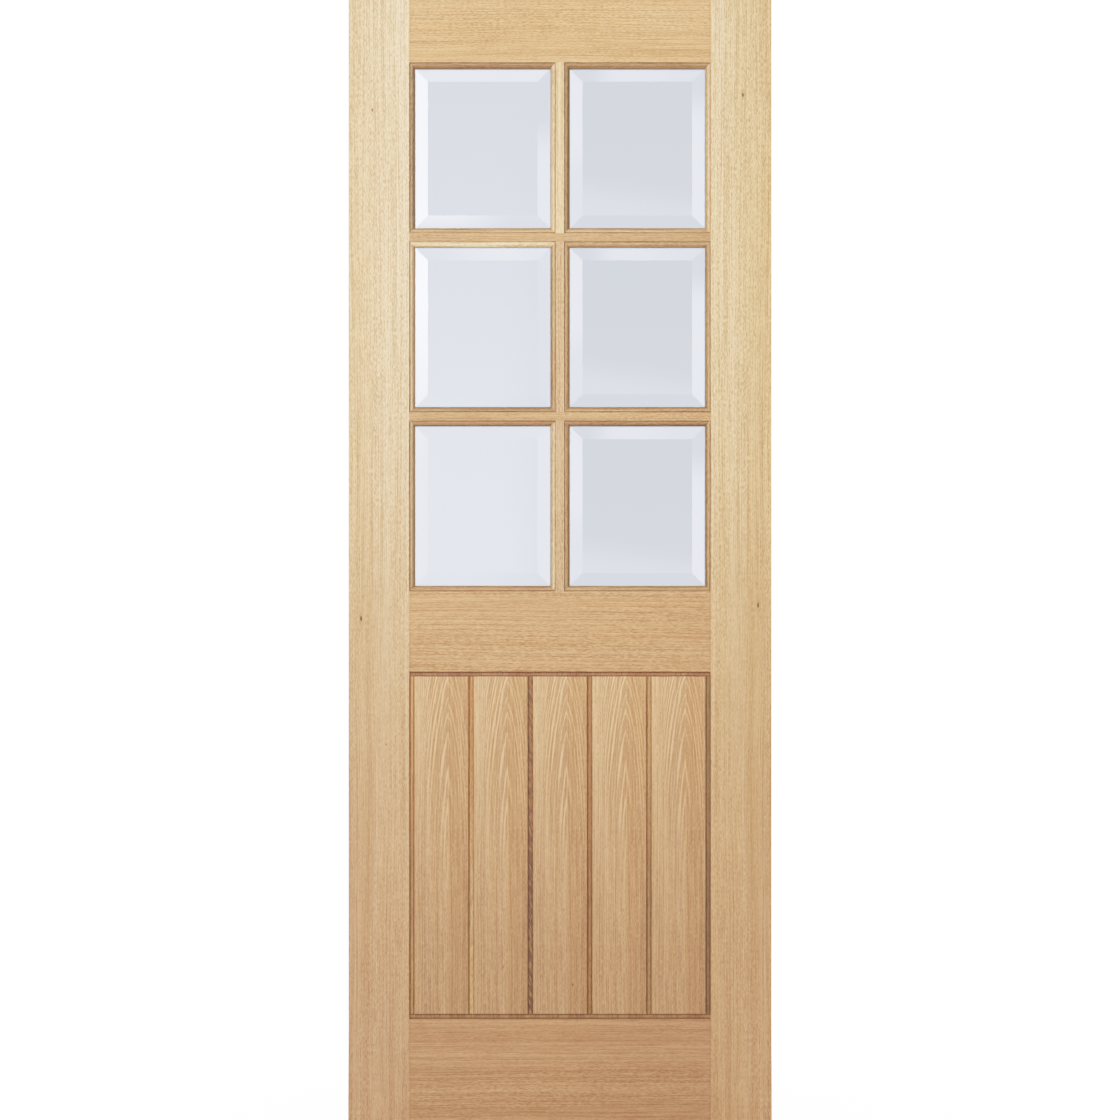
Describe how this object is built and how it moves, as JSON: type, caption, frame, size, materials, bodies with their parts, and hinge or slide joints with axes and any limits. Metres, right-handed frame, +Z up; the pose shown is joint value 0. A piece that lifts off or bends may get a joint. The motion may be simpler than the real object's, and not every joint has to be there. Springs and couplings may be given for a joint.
{
  "type": "glazed interior door",
  "caption": "Framed oak door leaf with a lattice of bevelled glass panes in mitred beads above a panel of upright grooved boards, hung by either long edge.",
  "frame": {"origin": "foot of the leaf, mid width and mid thickness", "axes": "+Z up the leaf, +X to the right seen from the front, the front face looks along -Y"},
  "size_m": [0.762, 0.035, 2.032],
  "materials": {
    "oak_stile": "satin",
    "oak_rail": "satin",
    "oak_bar": "satin",
    "oak_bead": "satin",
    "oak_board": "satin",
    "beech_dowel": "matte",
    "glass": "gloss",
    "glazing_tape": "matte"
  },
  "bodies": {
    "root": {"bar_dowels": "beech_dowel", "bottom_left_glazing_tape": "glazing_tape", "bottom_left_pane": "glass", "bottom_rail": "oak_rail", "bottom_right_glazing_tape": "glazing_tape", "bottom_right_pane": "glass", "bottom_upright_bar": "oak_bar", "crossing_dowels": "beech_dowel", "front_bottom_left_level_beads": "oak_bead", "front_bottom_left_upright_beads": "oak_bead", "front_bottom_right_level_beads": "oak_bead", "front_bottom_right_upright_beads": "oak_bead", "front_middle_left_level_beads": "oak_bead", "front_middle_left_upright_beads": "oak_bead", "front_middle_right_level_beads": "oak_bead", "front_middle_right_upright_beads": "oak_bead", "front_top_left_level_beads": "oak_bead", "front_top_left_upright_beads": "oak_bead", "front_top_right_level_beads": "oak_bead", "front_top_right_upright_beads": "oak_bead", "left_stile": "oak_stile", "lower_cross_bar": "oak_bar", "middle_left_glazing_tape": "glazing_tape", "middle_left_pane": "glass", "middle_rail": "oak_rail", "middle_right_glazing_tape": "glazing_tape", "middle_right_pane": "glass", "middle_upright_bar": "oak_bar", "panel_board_1": "oak_board", "panel_board_2": "oak_board", "panel_board_3": "oak_board", "panel_board_4": "oak_board", "panel_board_5": "oak_board", "rail_dowels": "beech_dowel", "rear_bottom_left_level_beads": "oak_bead", "rear_bottom_left_upright_beads": "oak_bead", "rear_bottom_right_level_beads": "oak_bead", "rear_bottom_right_upright_beads": "oak_bead", "rear_middle_left_level_beads": "oak_bead", "rear_middle_left_upright_beads": "oak_bead", "rear_middle_right_level_beads": "oak_bead", "rear_middle_right_upright_beads": "oak_bead", "rear_top_left_level_beads": "oak_bead", "rear_top_left_upright_beads": "oak_bead", "rear_top_right_level_beads": "oak_bead", "rear_top_right_upright_beads": "oak_bead", "right_stile": "oak_stile", "top_left_glazing_tape": "glazing_tape", "top_left_pane": "glass", "top_rail": "oak_rail", "top_right_glazing_tape": "glazing_tape", "top_right_pane": "glass", "top_upright_bar": "oak_bar", "upper_cross_bar": "oak_bar"}
  },
  "joints": []
}
